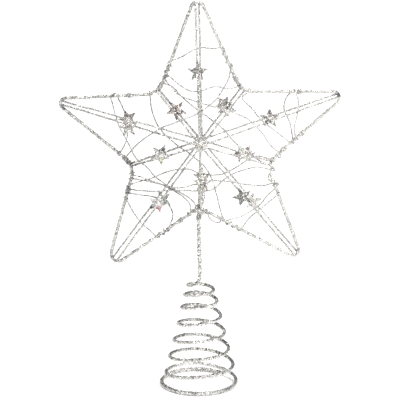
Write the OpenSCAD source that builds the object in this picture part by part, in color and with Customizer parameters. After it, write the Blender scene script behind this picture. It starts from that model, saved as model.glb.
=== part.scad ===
// Open wire star on a cone-shaped coil spring, millimetres, +Z up.
// The origin is the middle of the base ring, on the surface that the ring stands on.
// The star lies in the XZ plane and its front faces -Y.

/* [Star] */
// Distance of the unrounded corners of the five points from the star's middle
point_radius = 111.5; // [95:0.5:125]
// Distance of the unrounded corners of the five notches from the star's middle
notch_radius = 47.5; // [42:0.5:54]
// Height of the star's middle above the table
star_height = 176.2; // [170:0.2:190]
// Lean of the star in its own plane, in degrees
star_lean = 1.4; // [-3:0.1:3]
// Distance of each hub in front of or behind the outline's plane
hub_depth = 9; // [6:0.5:14]
// How far each corner is bent away from a regular star, as a share of the hand-bent shape
hand_bend = 1; // [0:0.1:1.2]

/* [Wire sizes] */
// Diameter of the outline wire with its glitter coat
outline_d = 2.5; // [1.8:0.1:3]
// Diameter of the ribs
rib_d = 1.4; // [1:0.1:1.8]
// Diameter of the stem
stem_d = 2.8; // [2.4:0.1:3]
// Diameter of the spring wire
coil_d = 2.7; // [2.4:0.1:3]
// Diameter of the loose trim wire
trim_d = 1; // [0.8:0.1:1.2]
// Diameter of the fine wire of the tight bindings
bind_d = 0.8; // [0.6:0.1:0.9]

/* [Small stars] */
// Distance from the middle of a small star to its tips
small_star_r = 7.7; // [5:0.1:8.5]
// Size of a small star's notches as a share of its tips
small_star_waist = 0.43; // [0.34:0.01:0.6]
// Thickness of a small star
small_star_t = 1.6; // [1:0.1:2.4]

/* [Hubs] */
// Radius of the two equal balls whose overlap is a hub bead
hub_ball_r = 5; // [4.6:0.1:5.6]
// Distance of each ball's centre from the bead's middle
hub_ball_offset = 2.6; // [2.2:0.1:2.8]

/* [Spring] */
// Radius of the wire's centre in the top turn
coil_top_r = 8.6; // [7.8:0.1:9.2]
// Distance of the wire's centre in the base ring from the axis at the front
base_r = 28.2; // [27.6:0.1:29.4]
// Rise of half a turn in the lower, evenly wound part
half_pitch = 6.05; // [5.8:0.05:6.3]

/* [Hidden] */
$fn = 48;
front = -1;
back = 1;
mid_x = 1;
hub = [0.7, star_height + 0.8];
edge_depth = 1;          // depth of a rib where it meets the outline
trim_gap = 0.12;         // room between a trim wire and what it is wound on
lay_gap = 0.5;           // room between a trim wire and the ribs that it crosses
seam = 0.12;             // room between two stretches of the spring

// ---- vectors and curves ------------------------------------------------

function unit(v) = v / norm(v);
function lerp(a, b, t) = a + (b - a) * t;
function clamp01(t) = min(1, max(0, t));
function ease(t) = let (c = clamp01(t)) c * c * (3 - 2 * c);

// unit directions along a line of points
function directions(p) = let (n = len(p)) [for (i = [0 : n - 1])
    i == 0 ? unit(p[1] - p[0])
    : i == n - 1 ? unit(p[n - 1] - p[n - 2])
    : let (a = p[i] - p[i - 1], b = p[i + 1] - p[i])
        unit(a / norm(a) * norm(b) + b / norm(b) * norm(a))];

// one point of a smooth curve between two points with given directions
function between(p0, p1, t0, t1, s) = let (l = norm(p1 - p0))
    (2 * s * s * s - 3 * s * s + 1) * p0 + (s * s * s - 2 * s * s + s) * l * t0
    + (3 * s * s - 2 * s * s * s) * p1 + (s * s * s - s * s) * l * t1;

// smooth curve through points, with a point about every step
function smooth(p, step) = let (t = directions(p)) concat(
    [for (i = [0 : len(p) - 2])
        let (n = max(1, round(norm(p[i + 1] - p[i]) / step)))
        for (j = [0 : n - 1]) between(p[i], p[i + 1], t[i], t[i + 1], j / n)],
    [p[len(p) - 1]]);

// a direction square to each step, carried along without twist
function square_to(t) = unit(cross(t, abs(t[2]) < 0.8 ? [0, 0, 1] : [1, 0, 0]));
function carried(t) = [for (i = 0, n = square_to(t[0]); i < len(t);
    n = let (u = t[min(i + 1, len(t) - 1)]) unit(n - (n * u) * u), i = i + 1) n];

// round wire along an open line of points
module wire(p, d, sides) {
    t = directions(p);
    n = carried(t);
    m = len(p);
    pts = [for (i = [0 : m - 1]) let (b = cross(t[i], n[i]))
        for (j = [0 : sides - 1]) let (a = 360 * (j + 0.5) / sides)
            p[i] + d / 2 * (cos(a) * n[i] + sin(a) * b)];
    polyhedron(pts, concat(
        [[for (j = [0 : sides - 1]) j]],
        [for (i = [0 : m - 2]) for (j = [0 : sides - 1]) let (k = (j + 1) % sides)
            [i * sides + j, (i + 1) * sides + j, (i + 1) * sides + k, i * sides + k]],
        [[for (j = [sides - 1 : -1 : 0]) (m - 1) * sides + j]]), convexity = 10);
}

// straight round rod between two points
module rod(a, b, d) {
    v = b - a;
    translate(a) rotate([0, acos(v[2] / norm(v)), atan2(v[1], v[0])])
        cylinder(h = norm(v), d = d);
}

// ---- the star's outline ------------------------------------------------

// corner 0 is the top point, and corners go round to the left, point and notch by turns
bends = [[-0.35, -2], [-1, -1.5], [2, 1], [-2, 0], [-4, -1],
         [-2.5, 1.5], [5, 2], [0.5, -0.5], [-1, 1], [1, -1]];
rounds = [4.4, 15, 4, 14, 5.2, 6.5, 4.4, 18, 4.7, 12];

function corner(i) = let (k = (i + 10) % 10, a = 90 + 36 * k + star_lean,
    r = k % 2 == 0 ? point_radius : notch_radius)
    [mid_x, star_height] + r * [cos(a), sin(a)] + hand_bend * bends[k];

// points of the arc that rounds a corner
function arc_at(i, n) = let (
    v = corner(i), a = unit(corner(i - 1) - v), b = unit(corner(i + 1) - v),
    half = acos(a * b) / 2, r = rounds[(i + 10) % 10],
    c = v + unit(a + b) * r / sin(half),
    w0 = (v + a * r / tan(half) - c) / r, w1 = (v + b * r / tan(half) - c) / r,
    th = acos(w0 * w1))
    [for (j = [0 : n]) c + r * (sin((1 - j / n) * th) * w0 + sin(j / n * th) * w1) / sin(th)];

steps = [for (i = [0 : 9]) i % 2 == 0 ? 8 : 6];
arcs = [for (i = [0 : 9]) arc_at(i, steps[i])];
outline = [for (i = [0 : 9]) for (p = arcs[i]) p];

// middle of a rounded corner, where ribs end
function apex(i) = let (k = (i + 10) % 10) arcs[k][steps[k] / 2];

// the outline from the middle of one corner to the middle of the next
function side_of(e) = let (k = e % 10, m = (e + 1) % 10) concat(
    [for (j = [steps[k] / 2 : steps[k]]) arcs[k][j]],
    [for (j = [0 : steps[m] / 2]) arcs[m][j]]);
function lengths(p) = [for (i = 0, s = 0; i < len(p);
    s = s + (i + 1 < len(p) ? norm(p[i + 1] - p[i]) : 0), i = i + 1) s];

// place on the outline: 2.25 is a quarter of the way from corner 2 to corner 3.
// Gives the point, the way along and the way out.
function on_outline(q) = let (e = floor(q), p = side_of(e), l = lengths(p),
    s = (q - e) * l[len(l) - 1],
    j = max([for (i = [0 : len(p) - 2]) l[i] <= s ? i : 0]),
    t = unit(p[j + 1] - p[j]))
    [lerp(p[j], p[j + 1], (s - l[j]) / (l[j + 1] - l[j])), t, [t[1], -t[0]]];

module star_outline() {
    color([0.74, 0.74, 0.72]) {
        m = len(outline);
        sides = 10;
        pts = [for (i = [0 : m - 1])
            let (a = outline[(i + m - 1) % m], p = outline[i], b = outline[(i + 1) % m],
                t = unit(unit(p - a) + unit(b - p)), o = [t[1], -t[0]])
            for (j = [0 : sides - 1]) let (w = 360 * (j + 0.5) / sides)
                [p[0] + outline_d / 2 * cos(w) * o[0], outline_d / 2 * sin(w),
                 p[1] + outline_d / 2 * cos(w) * o[1]]];
        polyhedron(pts, [for (i = [0 : m - 1]) for (j = [0 : sides - 1])
            let (n = (i + 1) % m, k = (j + 1) % sides)
            [i * sides + j, n * sides + j, n * sides + k, i * sides + k]], convexity = 12);
    }
}

// ---- ribs and hubs -----------------------------------------------------

function hub_point(side) = [hub[0], side * hub_depth, hub[1]];
// the front and the back rib of a corner end this far to either side of its middle
end_spread = [1.3, 0.8, 1, 0.7, 1.6, 0.8, 1.3, 1.1, 0.9, 1.4];
// and both end this far along the outline from it
end_shift = [0, 1.1, -0.4, 1.6, 0, 0, 0, -0.7, -0.5, 0];
// the two top ribs also leave the hubs this far to either side
root_spread = 0.7;
function sideways(i, side) = let (v = unit(hub - apex(i)))
    side * (i <= 5 ? 1 : -1) * [-v[1], v[0]];
function rib_end(i, side) = let (a = apex(i), v = unit(hub - a),
    w = end_spread[i] * sideways(i, side) + end_shift[i] * [-v[1], v[0]])
    [a[0] + 0.6 * v[0] + w[0], side * edge_depth, a[1] + 0.6 * v[1] + w[1]];
function rib_root(i, side) = let (w = (i == 0 ? root_spread : 0) * sideways(i, side))
    hub_point(side) + [w[0], 0, w[1]];
function rib_start(i, side) = rib_root(i, side) + (i == 0 ? 3.6 : 2.8) * along(i, side);

module rib(i, side) {
    color([0.78, 0.78, 0.76]) rod(rib_start(i, side), rib_end(i, side), rib_d);
}

module hub_bead(side) {
    color([0.7, 0.7, 0.68]) translate(hub_point(side)) intersection() {
        translate([0, hub_ball_offset, 0]) sphere(r = hub_ball_r);
        translate([0, -hub_ball_offset, 0]) sphere(r = hub_ball_r);
    }
}

// ---- small stars -------------------------------------------------------

// for each rib: distance from the hub, shift to the left of the rib, turn, in front then behind
star_places = [
    [[52.8, -0.1, -2], [49.6, 2, 2]], [[30.3, -2.4, -1], [28.5, -0.1, 2]],
    [[52.2, 1.9, 4], [53.7, -0.1, -21]], [[29.5, -1.5, 6], [30.4, 0.7, -9]],
    [[52.3, -0.8, -20], [50.8, 4, -24]], [[27.9, 1.4, -36], [26.4, 2, 34]],
    [[47.5, -0.9, 17], [57.2, -0.7, 5]], [[29.3, 3.1, -18], [33.5, 0.5, -15]],
    [[51.9, 2.3, -2], [51, -1.3, -2]], [[32, 2, 6], [31.6, 2.6, -6]]];

function along(i, side) = unit(rib_end(i, side) - rib_root(i, side));
function leftward(i, side) = unit(cross([0, 1, 0], along(i, side))) * -1;
function outward(i, side) = let (n = cross(leftward(i, side), along(i, side)))
    unit(n) * (n[1] * side > 0 ? 1 : -1);
function place(i, side) = star_places[i][side == front ? 0 : 1];
function small_star_middle(i, side) = let (s = place(i, side))
    rib_root(i, side) + s[0] * along(i, side) + s[1] * leftward(i, side)
    + (rib_d / 2 + small_star_t / 2 - 0.3) * outward(i, side);

module small_star(i, side) {
    a = along(i, side);
    o = outward(i, side);
    b = cross(o, a);
    m = small_star_middle(i, side);
    color([0.66, 0.65, 0.63]) multmatrix([
        [a[0], b[0], o[0], m[0]], [a[1], b[1], o[1], m[1]], [a[2], b[2], o[2], m[2]], [0, 0, 0, 1]])
        rotate([0, 0, place(i, side)[2]])
        linear_extrude(height = small_star_t, center = true)
        polygon([for (k = [0 : 9]) let (r = small_star_r * (k % 2 == 0 ? 1 : small_star_waist))
            r * [cos(36 * k), sin(36 * k)]]);
}

// ---- loose trim wires --------------------------------------------------

// depth of the faces that the ribs of one side stretch between hub and outline
function face_depth(p) = let (
    v = p - hub,
    s = [for (i = [0 : 9]) let (a = apex(i) - hub, b = apex(i + 1) - hub,
        d = a[0] * b[1] - a[1] * b[0],
        x = (v[0] * b[1] - v[1] * b[0]) / d, y = (a[0] * v[1] - a[1] * v[0]) / d)
        [min(x, y), x + y]],
    top = max([for (w = s) w[0]]),
    f = min(1, max([for (w = s) w[0] == top ? w[1] : 0])))
    lerp(hub_depth, edge_depth, f);

// a trim wire is lifted over the small stars of its side
star_spots = [for (side = [front, back]) [for (i = [0 : 9])
    let (m = small_star_middle(i, side)) [m[0], m[2]]]];
function lift(p, side) = let (near = min([for (m = star_spots[side == front ? 0 : 1]) norm(p - m)]))
    (small_star_t + 0.9) * ease((13.5 - near) / 4.5);
function hub_lift(p) = 2.2 * ease((9 - norm(p - hub)) / 4.5);

// points of a turn round the outline, from place q0 to q1 and from angle a0 to a1.
// 0 degrees is in front of the outline, 90 outside it, 180 behind it.
// A turn that lies over other turns has over = 1.
function winding(q0, q1, a0, a1, over) = let (
    n = max(1, ceil(abs(a1 - a0) / 45)),
    r = outline_d / 2 + trim_d / 2 + trim_gap + over * (trim_d + trim_gap))
    [for (j = [0 : n]) let (w = on_outline(lerp(q0, q1, j / n)), a = lerp(a0, a1, j / n))
        [w[0][0] + r * sin(a) * w[2][0], -r * cos(a), w[0][1] + r * sin(a) * w[2][1]]];

// points of a stretch across the star on one side, from outline place qa to qb
function span(side, layer, qa, pts, qb) = let (
    a = on_outline(qa)[0], b = on_outline(qb)[0],
    flat = smooth(concat([a], [for (p = pts) [mid_x, star_height] + p], [b]), 4.2))
    [for (j = [1 : len(flat) - 2]) let (p = flat[j],
        off = ease(min(norm(p - a), norm(p - b)) / 7))
        [p[0], side * (face_depth(p) + rib_d / 2 + trim_d / 2 + lay_gap
            + off * (layer * (trim_d + trim_gap) + lift(p, side) + hub_lift(p))), p[1]]];

// Each trim wire: its layer, then turns round the outline [q0, q1, a0, a1, over] and stretches
// [side, points from the star's middle], by turns.
trims = [
    [0, [[2.86, 2.88, 360, 0],
         [front, [[-44, 2], [-29, 13], [-13, 20], [-1, 25], [8, 32], [16, 42], [19, 48]]],
         [9.25, 9.46, 0, 900],
         [back, [[8, 68], [-2, 68], [-10, 64], [-14.8, 61.4]]],
         [0.675, 0.79, 180, -720],
         [front, [[-15, 44], [-8, 40], [-1, 40], [10, 43], [19, 41]]],
         [9.045, 9.065, 0, 360]]],
    [1, [[0.82, 0.84, 360, 0],
         [front, [[-18, 39], [-4, 33], [10, 29], [23, 25], [34, 19], [42, 11], [49, 0]]],
         [7.16, 6.745, 0, 900, 1],
         [back, [[47.1, -38.7], [42.3, -45.7], [33.8, -51.7], [26, -54.7]]],
         [5.27, 5.42, 180, -720],
         [front, [[34, -52], [42, -45]]],
         [6.69, 6.67, 0, 360]]],
    [2, [[0.89, 0.91, -180, 180],
         [back, [[-19.4, 39.2], [-14.2, 32.1], [-8.2, 26.4], [2, 18.8], [15, 8.5], [27, -5], [39, -13]]],
         [6.975, 6.955, 180, 0],
         [front, [[41, -15], [27, -17], [17, -22], [8, -30], [-8, -31], [-25, -31], [-42, -32]]],
         [3.22, 3.20, 0, 180],
         [back, [[-36, -27], [-22, -22], [-10, -21], [1, -25], [13, -25], [27, -18], [39, -11]]],
         [7.042, 7.062, 180, -180]]],
    [0, [[8.95, 8.93, 360, 0],
         [front, [[28.5, 34.5], [32.3, 30], [36.5, 25.9], [39.9, 21.8], [43.8, 18], [49.4, 13.5],
                  [55.8, 7.3]]],
         [7.31, 7.33, 0, 180],
         [back, [[62, 15], [58, 24], [61, 35]]],
         [8.48, 8.46, 180, 0],
         [front, [[68, 31], [67, 22], [65, 11]]],
         [7.37, 7.39, 0, 360]]],
    [1, [[4.93, 4.95, 360, 0],
         [front, [[-4.5, -42], [-8.4, -37.5], [-14.2, -33.4], [-19.4, -30.2], [-25.4, -26.6],
                  [-33.1, -20.9], [-37.6, -15.6], [-45, -9.7], [-49.5, -1.3], [-52.2, 5.3],
                  [-56.9, 14.4], [-61, 26.8]]],
         [1.47, 1.41, 0, 180],
         [back, [[-55.2, 24.6], [-51.5, 11], [-52.7, 1.1], [-55.3, -4.4]]],
         [2.82, 2.80, 180, -180]]],
    [0, [[1.05, 1.07, -180, 180],
         [back, [[-35, 25], [-29, 9], [-18, -2], [-6, -11], [4, -21], [10, -35], [13, -47]]],
         [5.24, 5.22, 180, 360],
         [front, [[13, -56.5], [9, -55.5], [6, -53.5]]],
         [5.08, 5.06, 0, 360]]],
    [0, [[3.055, 3.075, 360, 0],
         [front, [[-43, -22.4], [-36.3, -24.8], [-28.9, -27], [-21.9, -30.2], [-16, -34.3],
                  [-11, -38.4], [-7.9, -43.1]]],
         [4.895, 4.875, 0, 360]]],
    [0, [[3.34, 3.32, 360, 0],
         [front, [[-48, -48], [-43, -55], [-36, -62]]],
         [4.50, 4.64, 0, 900],
         [back, [[-20, -53], [-23, -46], [-36, -40]]],
         [3.283, 3.263, 180, -180]]],
    [1, [[6.775, 6.795, -180, 180],
         [back, [[42.2, -31.9], [31.3, -31.4], [18.9, -29.2], [9, -29], [-6, -32], [-20, -34], [-36, -29]]],
         [3.13, 3.11, 180, -180]]]];

function is_span(e) = is_list(e[1]);
function trim_path(w) = let (r = w[1]) [for (i = [0 : len(r) - 1]) for (p =
    is_span(r[i]) ? span(r[i][0], w[0], r[i - 1][1], r[i][1], r[i + 1][0])
    : winding(r[i][0], r[i][1], r[i][2], r[i][3], len(r[i]) > 4 ? r[i][4] : 0)) p];

module trim_wire(i) {
    color([0.8, 0.8, 0.78]) wire(trim_path(trims[i - 1]), trim_d, 6);
}

// ---- binding wraps -----------------------------------------------------

// places on the outline that carry a tight winding, and the number of its turns
wraps = [[0.942, 3], [9.13, 4], [7.20, 3], [3.2415, 2], [2.907, 2], [2.942, 2], [4.78, 3], [8.42, 3], [7.455, 4], [1.28, 3]];
// heights of the tight windings on the stem
stem_wraps = [121.2, 122.4, 123.6];
// turns of the lashing that ties the stem to the bottom notch, side by side
lash_turns = 2;
// tilt of the lashing's rings
lash_tilt = 130;

// a ring of fine wire round a rod of diameter d, square to direction t
module turn_round(p, t, d) {
    translate(p) rotate([0, acos(t[2]), atan2(t[1], t[0])])
        rotate_extrude() translate([d / 2 + bind_d / 2 + trim_gap, 0]) circle(d = bind_d);
}

module binding_wraps() {
    color([0.6, 0.6, 0.58]) {
        for (w = wraps) let (l = lengths(side_of(floor(w[0]))), long = l[len(l) - 1])
            for (j = [0 : w[1] - 1]) let (s = (j - (w[1] - 1) / 2) * (bind_d + 0.25),
                o = on_outline(w[0] + s / long))
            turn_round([o[0][0], 0, o[0][1]], [o[1][0], 0, o[1][1]], outline_d);
        for (z = stem_wraps) let (s = stem_at(z)) turn_round(s[0], s[1], stem_d);
        lashing();
    }
}

// slanting rings that hold the notch of the outline and the stem behind it together
module lashing() {
    a = apex(5);
    s = stem_at(a[1])[0];
    m = [(a[0] + s[0]) / 2, s[1] / 2, a[1] - 1];
    r = s[1] / 2 + stem_d / 2 + bind_d / 2 + 1.1;
    for (j = [0 : lash_turns - 1]) let (o = (j - (lash_turns - 1) / 2) * (bind_d + 0.15))
        translate(m + o * [sin(lash_tilt), 0, -cos(lash_tilt)]) rotate([0, -lash_tilt, 0])
            rotate_extrude() translate([r, 0]) circle(d = bind_d);
}

// ---- stem and spring ---------------------------------------------------

// the stem rises from the spring, passes behind the bottom notch and ends between the ribs
stem_points = [[0, 0, 80], [0, 0, 83], [-0.3, 0.3, 94], [-0.7, 1.5, 112], [-0.8, 2.7, 121],
    [-0.2, 3.3, 128], [1.8, 3.6, 134], [2.4, 3.5, 139], [2.4, 3.2, 144.5]];
stem_path = smooth(stem_points, 5);
function stem_at(z) = let (j = max([for (i = [0 : len(stem_path) - 2]) stem_path[i][2] <= z ? i : 0]),
    a = stem_path[j], b = stem_path[j + 1])
    [lerp(a, b, (z - a[2]) / (b[2] - a[2])), unit(b - a)];

module stem() {
    color([0.72, 0.72, 0.7]) wire(stem_path, stem_d, 10);
}

// k counts half turns down from the first turn's left side; at foot_k the wire is on the table
wire_z = coil_d / 2 * cos(15);
foot_k = 13.3;
foot_rise = 1.14;
function coil_r(k) = min(24.5, coil_top_r + 1.06 * k + 0.0255 * k * k);
function coil_z(k) = k < 4 ? wire_z + (8 + foot_rise) * half_pitch + 5 * (4 - k) - 0.22 * (4 - k) * (4 - k)
    : k < 12 ? wire_z + half_pitch * (12 + foot_rise - k)
    : let (u = min(1, (k - 12) / (foot_k - 12)), b = 2 - (foot_k - 12) / foot_rise)
        wire_z + foot_rise * half_pitch * (1 - u) * (1 - u) * (1 + b * u + 2.5 * u * u);
// each turn is bent up a little at its front and back, and the upper turns lean back
function coil_wave(k) = 0.9 * ease(k - 0.6) * (1 - ease((k - 12.5) / 0.5));
function coil_lean(k) = lerp(0.022, 0, ease((k - 5) / 5));
function coil_point(k) = let (a = 180 - 180 * k, r = coil_r(k), w = ease((k - 12.55) / 0.55))
    [lerp(0.25 * ease(k / 4) + r * cos(a), (base_r - 1.1) * cos(a) - 1.2, w),
     lerp(r * sin(a), base_r * sin(a), w),
     coil_z(k) + coil_wave(k) * sin(a) * sin(a) - coil_lean(k) * r * sin(a)];

// the turns from k0 to k1, cut back by half a seam at each end; the short first and last
// steps set the end faces square to the wire
end_step = 0.008;
module turns(k0, k1) {
    c0 = seam / 2 / (PI * coil_r(k0));
    c1 = seam / 2 / (PI * coil_r(k1));
    n = ceil((k1 - k0) * 12);
    wire([for (k = concat([k0 + c0], [for (j = [0 : n])
            lerp(k0 + c0 + end_step, k1 - c1 - end_step, j / n)], [k1 - c1]))
        coil_point(k)], coil_d, 10);
}

module coil_lower_turns() { color([0.7, 0.7, 0.68]) turns(7, foot_k); }
module coil_middle_turns() { color([0.74, 0.74, 0.72]) turns(5, 7); }
module coil_upper_turns() { color([0.7, 0.7, 0.68]) turns(3, 5); }

// the top turns, and the bend that brings the wire into the axis under the stem
module coil_neck() {
    b0 = coil_point(0);
    b1 = b0 + [0, -7, 1.35];
    b3 = [0, 0, 79.4];
    b2 = [0, 0, 72.5];
    c1 = seam / 2 / (PI * coil_r(3));
    color([0.74, 0.74, 0.72]) wire(concat([[0, 0, 80 - seam]],
        [for (j = [0 : 11]) let (t = 1 - j / 12)
            t * t * t * b3 + 3 * t * t * (1 - t) * b2 + 3 * t * (1 - t) * (1 - t) * b1
            + (1 - t) * (1 - t) * (1 - t) * b0],
        [for (j = [0 : 36]) coil_point(j / 36 * (3 - c1 - end_step))],
        [coil_point(3 - c1)]), coil_d, 10);
}

// open bottom turn: from the foot of the spring by the front, left and back to the right, as arcs
// [radius, turn] in line with each other; its twelve-sided wire stands on a flat side
ring_arcs = [[base_r - 2.9, 82.3], [base_r + 2, 86], [base_r - 4.7, 50], [base_r - 6.7, 54]];
// points along the arcs from point p and heading h on
function laid(p, h, i = 0) = i == len(ring_arcs) ? [] : let (r = ring_arcs[i][0], t = ring_arcs[i][1],
    n = ceil(t / 5), c = p + r * [sin(h), -cos(h)])
    concat([for (j = concat([0.1], [for (m = [1 : n]) m])) let (g = h - t * j / n)
        [c[0] - r * sin(g), c[1] + r * cos(g), wire_z]],
        laid(c - r * [sin(h - t), -cos(h - t)], h - t, i + 1));

module base_ring() {
    p = coil_point(foot_k);
    q = p - coil_point(foot_k - 0.001);
    color([0.72, 0.72, 0.7]) wire(concat([p], laid([p[0], p[1]], atan2(q[1], q[0]))), coil_d, 12);
}

// ---- nodes -------------------------------------------------------------

base_ring();
coil_lower_turns();
coil_middle_turns();
coil_upper_turns();
coil_neck();
stem();
star_outline();
hub_bead(front);  // front_hub
hub_bead(back);  // back_hub
rib(0, front);  // front_rib_top_point
rib(1, front);  // front_rib_upper_left_notch
rib(2, front);  // front_rib_left_point
rib(3, front);  // front_rib_lower_left_notch
rib(4, front);  // front_rib_lower_left_point
rib(5, front);  // front_rib_bottom_notch
rib(6, front);  // front_rib_lower_right_point
rib(7, front);  // front_rib_lower_right_notch
rib(8, front);  // front_rib_right_point
rib(9, front);  // front_rib_upper_right_notch
rib(0, back);  // back_rib_top_point
rib(1, back);  // back_rib_upper_left_notch
rib(2, back);  // back_rib_left_point
rib(3, back);  // back_rib_lower_left_notch
rib(4, back);  // back_rib_lower_left_point
rib(5, back);  // back_rib_bottom_notch
rib(6, back);  // back_rib_lower_right_point
rib(7, back);  // back_rib_lower_right_notch
rib(8, back);  // back_rib_right_point
rib(9, back);  // back_rib_upper_right_notch
small_star(0, front);  // front_star_top_point
small_star(1, front);  // front_star_upper_left_notch
small_star(2, front);  // front_star_left_point
small_star(3, front);  // front_star_lower_left_notch
small_star(4, front);  // front_star_lower_left_point
small_star(5, front);  // front_star_bottom_notch
small_star(6, front);  // front_star_lower_right_point
small_star(7, front);  // front_star_lower_right_notch
small_star(8, front);  // front_star_right_point
small_star(9, front);  // front_star_upper_right_notch
small_star(0, back);  // back_star_top_point
small_star(1, back);  // back_star_upper_left_notch
small_star(2, back);  // back_star_left_point
small_star(3, back);  // back_star_lower_left_notch
small_star(4, back);  // back_star_lower_left_point
small_star(5, back);  // back_star_bottom_notch
small_star(6, back);  // back_star_lower_right_point
small_star(7, back);  // back_star_lower_right_notch
small_star(8, back);  // back_star_right_point
small_star(9, back);  // back_star_upper_right_notch
trim_wire(1);  // trim_wire_1
trim_wire(2);  // trim_wire_2
trim_wire(3);  // trim_wire_3
trim_wire(4);  // trim_wire_4
trim_wire(5);  // trim_wire_5
trim_wire(6);  // trim_wire_6
trim_wire(7);  // trim_wire_7
trim_wire(8);  // trim_wire_8
trim_wire(9);  // trim_wire_9
binding_wraps();
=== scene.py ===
# Looks of the standing wire star: glitter-coated wires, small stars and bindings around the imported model.
import bpy
import bmesh
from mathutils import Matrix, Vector
from mathutils.geometry import delaunay_2d_cdt


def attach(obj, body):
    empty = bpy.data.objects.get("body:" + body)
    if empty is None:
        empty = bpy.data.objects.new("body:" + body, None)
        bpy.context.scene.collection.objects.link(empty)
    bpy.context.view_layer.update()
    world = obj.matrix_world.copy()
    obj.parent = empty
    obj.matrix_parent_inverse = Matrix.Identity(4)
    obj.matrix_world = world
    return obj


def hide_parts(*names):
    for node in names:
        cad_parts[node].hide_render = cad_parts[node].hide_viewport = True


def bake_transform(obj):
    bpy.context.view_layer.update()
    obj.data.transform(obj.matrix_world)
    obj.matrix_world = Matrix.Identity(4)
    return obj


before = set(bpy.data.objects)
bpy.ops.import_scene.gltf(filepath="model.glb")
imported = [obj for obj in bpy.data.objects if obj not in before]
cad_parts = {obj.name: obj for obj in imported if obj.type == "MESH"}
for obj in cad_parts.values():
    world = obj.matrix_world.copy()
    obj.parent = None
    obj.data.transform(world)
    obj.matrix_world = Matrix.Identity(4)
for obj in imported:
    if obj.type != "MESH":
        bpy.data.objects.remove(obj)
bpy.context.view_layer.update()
scene = bpy.context.scene

# ---- the part's own geometry, in millimetres ---------------------------------
import numpy as np
from math import sin, cos, tan, acos, atan2, radians, degrees, pi, floor, ceil
POINT_R, NOTCH_R, STAR_Z, LEAN, HUB_DEPTH = 111.5, 47.5, 176.2, 1.4, 9.0
OUTLINE_D, RIB_D, STEM_D, COIL_D, TRIM_D, BIND_D = 2.5, 1.4, 2.8, 2.7, 1.0, 0.8
SST_R, SST_W, SST_T = 7.7, 0.43, 1.6
COIL_TOP_R, BASE_R, HALF_PITCH = 8.6, 28.2, 6.05
FRONT, BACK = -1, 1
MID_X = 1.0
HUB = np.array([0.7, STAR_Z + 0.8])
EDGE_DEPTH, TRIM_GAP, LAY_GAP, SEAM = 1.0, 0.12, 0.5, 0.12
MID = np.array([MID_X, STAR_Z])
def unit(v):
    v = np.asarray(v, float); return v / np.linalg.norm(v)
def lerp(a, b, t): return a + (b - a) * t
def ease(t):
    c = min(1.0, max(0.0, t)); return c * c * (3 - 2 * c)
def directions(p):
    p = np.asarray(p, float); n = len(p); out = []
    for i in range(n):
        if i == 0: out.append(unit(p[1] - p[0]))
        elif i == n - 1: out.append(unit(p[-1] - p[-2]))
        else:
            a = p[i] - p[i-1]; b = p[i+1] - p[i]; la, lb = np.linalg.norm(a), np.linalg.norm(b)
            out.append(unit(a / la * lb + b / lb * la))
    return out
def between(p0, p1, t0, t1, s):
    l = np.linalg.norm(p1 - p0)
    return ((2*s**3 - 3*s*s + 1) * p0 + (s**3 - 2*s*s + s) * l * t0
            + (3*s*s - 2*s**3) * p1 + (s**3 - s*s) * l * t1)
def smooth(p, step):
    p = [np.asarray(q, float) for q in p]; t = directions(p); out = []
    for i in range(len(p) - 1):
        n = max(1, int(floor(np.linalg.norm(p[i+1] - p[i]) / step + 0.5)))
        for j in range(n): out.append(between(p[i], p[i+1], t[i], t[i+1], j / n))
    out.append(p[-1]); return out
BENDS = [(-0.35,-2),(-1,-1.5),(2,1),(-2,0),(-4,-1),(-2.5,1.5),(5,2),(0.5,-0.5),(-1,1),(1,-1)]
ROUNDS = [4.4,15,4,14,5.2,6.5,4.4,18,4.7,12]
def corner(i):
    k = i % 10; a = radians(90 + 36 * k + LEAN); r = POINT_R if k % 2 == 0 else NOTCH_R
    return MID + r * np.array([cos(a), sin(a)]) + np.array(BENDS[k])
def arc_at(i, n):
    v = corner(i); a = unit(corner(i-1) - v); b = unit(corner(i+1) - v)
    half = acos(a @ b) / 2; r = ROUNDS[i % 10]
    c = v + unit(a + b) * r / sin(half)
    w0 = (v + a * r / tan(half) - c) / r; w1 = (v + b * r / tan(half) - c) / r
    th = acos(w0 @ w1)
    return [c + r * (sin((1 - j / n) * th) * w0 + sin(j / n * th) * w1) / sin(th) for j in range(n + 1)]
STEPS = [8 if i % 2 == 0 else 6 for i in range(10)]
ARCS = [arc_at(i, STEPS[i]) for i in range(10)]
def apex(i):
    k = i % 10; return ARCS[k][STEPS[k] // 2]
def side_of(e):
    k = e % 10; m = (e + 1) % 10
    return np.array(ARCS[k][STEPS[k] // 2:] + ARCS[m][:STEPS[m] // 2 + 1])
def on_outline(q):
    e = int(floor(q)); p = side_of(e)
    l = np.r_[0, np.cumsum(np.linalg.norm(np.diff(p, axis=0), axis=1))]
    s = (q - e) * l[-1]
    j = max(i for i in range(len(p) - 1) if l[i] <= s)
    t = unit(p[j+1] - p[j])
    return lerp(p[j], p[j+1], (s - l[j]) / (l[j+1] - l[j])), t, np.array([t[1], -t[0]])
def hub_point(side): return np.array([HUB[0], side * HUB_DEPTH, HUB[1]])
END_SPREAD = [1.3, 0.8, 1.0, 0.7, 1.6, 0.8, 1.3, 1.1, 0.9, 1.4]
END_SHIFT = [0, 1.1, -0.4, 1.6, 0, 0, 0, -0.7, -0.5, 0]
def sideways(i, side):
    a = apex(i); v = unit(HUB - a); t = side * (1 if i % 10 <= 5 else -1)
    return t * np.array([-v[1], v[0]])
def rib_end(i, side):
    a = apex(i); v = unit(HUB - a); w = END_SPREAD[i % 10] * sideways(i, side) + END_SHIFT[i % 10] * np.array([-v[1], v[0]])
    return np.array([a[0] + 0.6 * v[0] + w[0], side * EDGE_DEPTH, a[1] + 0.6 * v[1] + w[1]])
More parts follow.
